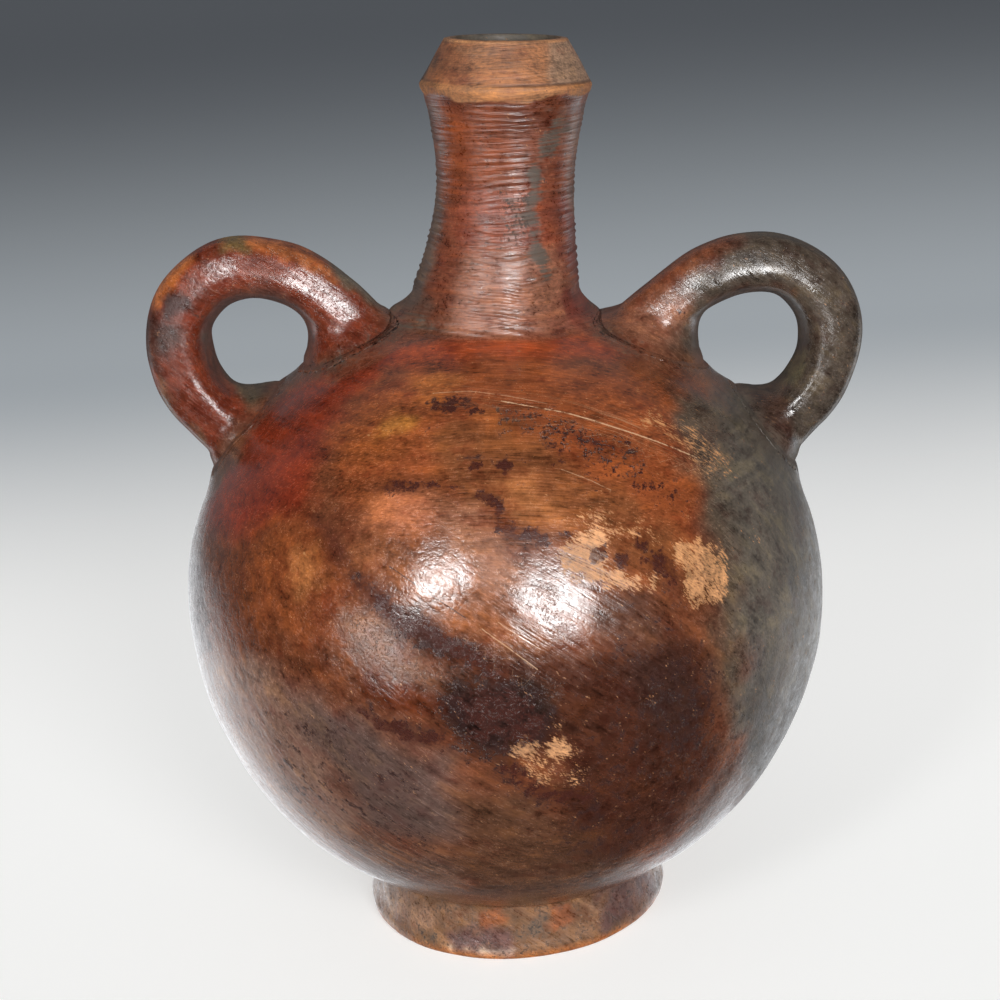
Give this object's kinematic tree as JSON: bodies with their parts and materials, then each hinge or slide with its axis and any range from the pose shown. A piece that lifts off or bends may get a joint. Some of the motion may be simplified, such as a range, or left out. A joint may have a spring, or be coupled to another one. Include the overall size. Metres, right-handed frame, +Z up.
{
  "type": "handled vessel",
  "caption": "Round-bodied clay jar for storing and pouring, with a low ring foot, a ridged neck, a bevelled rim and loop handles on its shoulder.",
  "frame": {"origin": "on the surface that the foot ring stands on, under the middle of the bounding box", "axes": "+Z up, -Y the front as pictured, the loop handles along X; the body leans to +X over a level foot"},
  "size_m": [0.3944, 0.3614, 0.5012],
  "materials": {
    "burnished_clay": "red-brown slip, burnished to a soft gloss, with fire clouds, wear and scratches"
  },
  "bodies": {
    "root": {"jar": "burnished_clay"}
  },
  "joints": []
}
